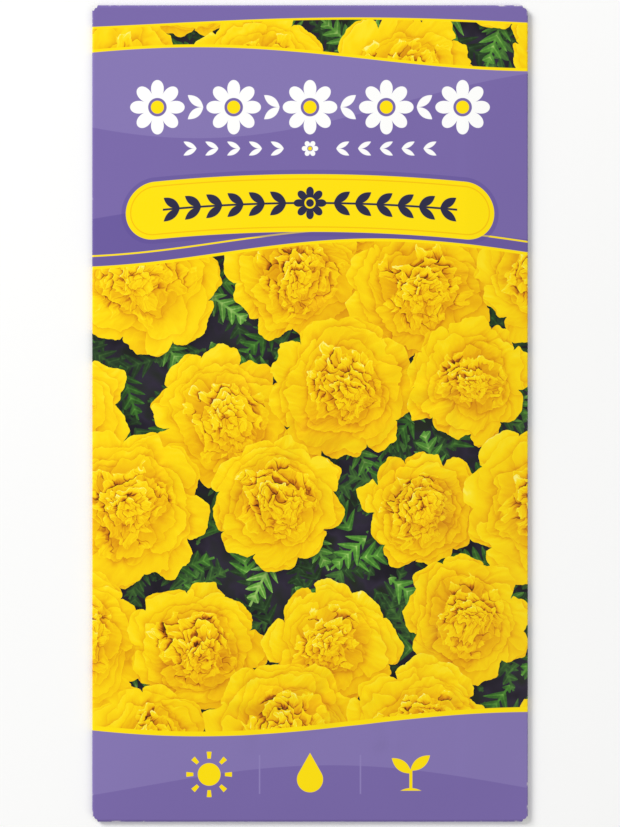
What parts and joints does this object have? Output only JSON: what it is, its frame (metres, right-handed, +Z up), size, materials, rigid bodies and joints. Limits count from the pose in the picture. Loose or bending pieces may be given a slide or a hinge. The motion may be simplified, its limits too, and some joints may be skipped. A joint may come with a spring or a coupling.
{
  "type": "seed packet",
  "caption": "Flat folded paper seed packet with glued side seam and end flaps, printed with yellow blossoms, holding loose marigold seeds.",
  "frame": {"origin": "under the middle of the packet, on the surface that it lies on", "axes": "+X across the packet, +Y towards its top edge, +Z up out of the printed front"},
  "size_m": [0.08, 0.15, 0.0023],
  "materials": {
    "printed_paper": "coated paper printed on its outer side, satin varnish",
    "dried_glue": "dried water-based adhesive, satin",
    "seed": "dry ribbed seed coat, matte, with straw-coloured pappus"
  },
  "bodies": {
    "root": {"paper_envelope": "printed_paper", "side_seam_glue": "dried_glue", "bottom_flap_glue": "dried_glue", "top_flap_glue": "dried_glue", "seed_01": "seed", "seed_02": "seed", "seed_03": "seed", "seed_04": "seed", "seed_05": "seed", "seed_06": "seed", "seed_07": "seed", "seed_08": "seed", "seed_09": "seed", "seed_10": "seed", "seed_11": "seed", "seed_12": "seed", "seed_13": "seed", "seed_14": "seed", "seed_15": "seed", "seed_16": "seed", "seed_17": "seed", "seed_18": "seed", "seed_19": "seed", "seed_20": "seed", "seed_21": "seed", "seed_22": "seed", "seed_23": "seed", "seed_24": "seed", "seed_25": "seed", "seed_26": "seed", "seed_27": "seed", "seed_28": "seed", "seed_29": "seed", "seed_30": "seed", "seed_31": "seed", "seed_32": "seed", "seed_33": "seed", "seed_34": "seed", "seed_35": "seed", "seed_36": "seed", "seed_37": "seed", "seed_38": "seed", "seed_39": "seed", "seed_40": "seed", "seed_41": "seed", "seed_42": "seed", "seed_43": "seed", "seed_44": "seed"}
  },
  "joints": []
}
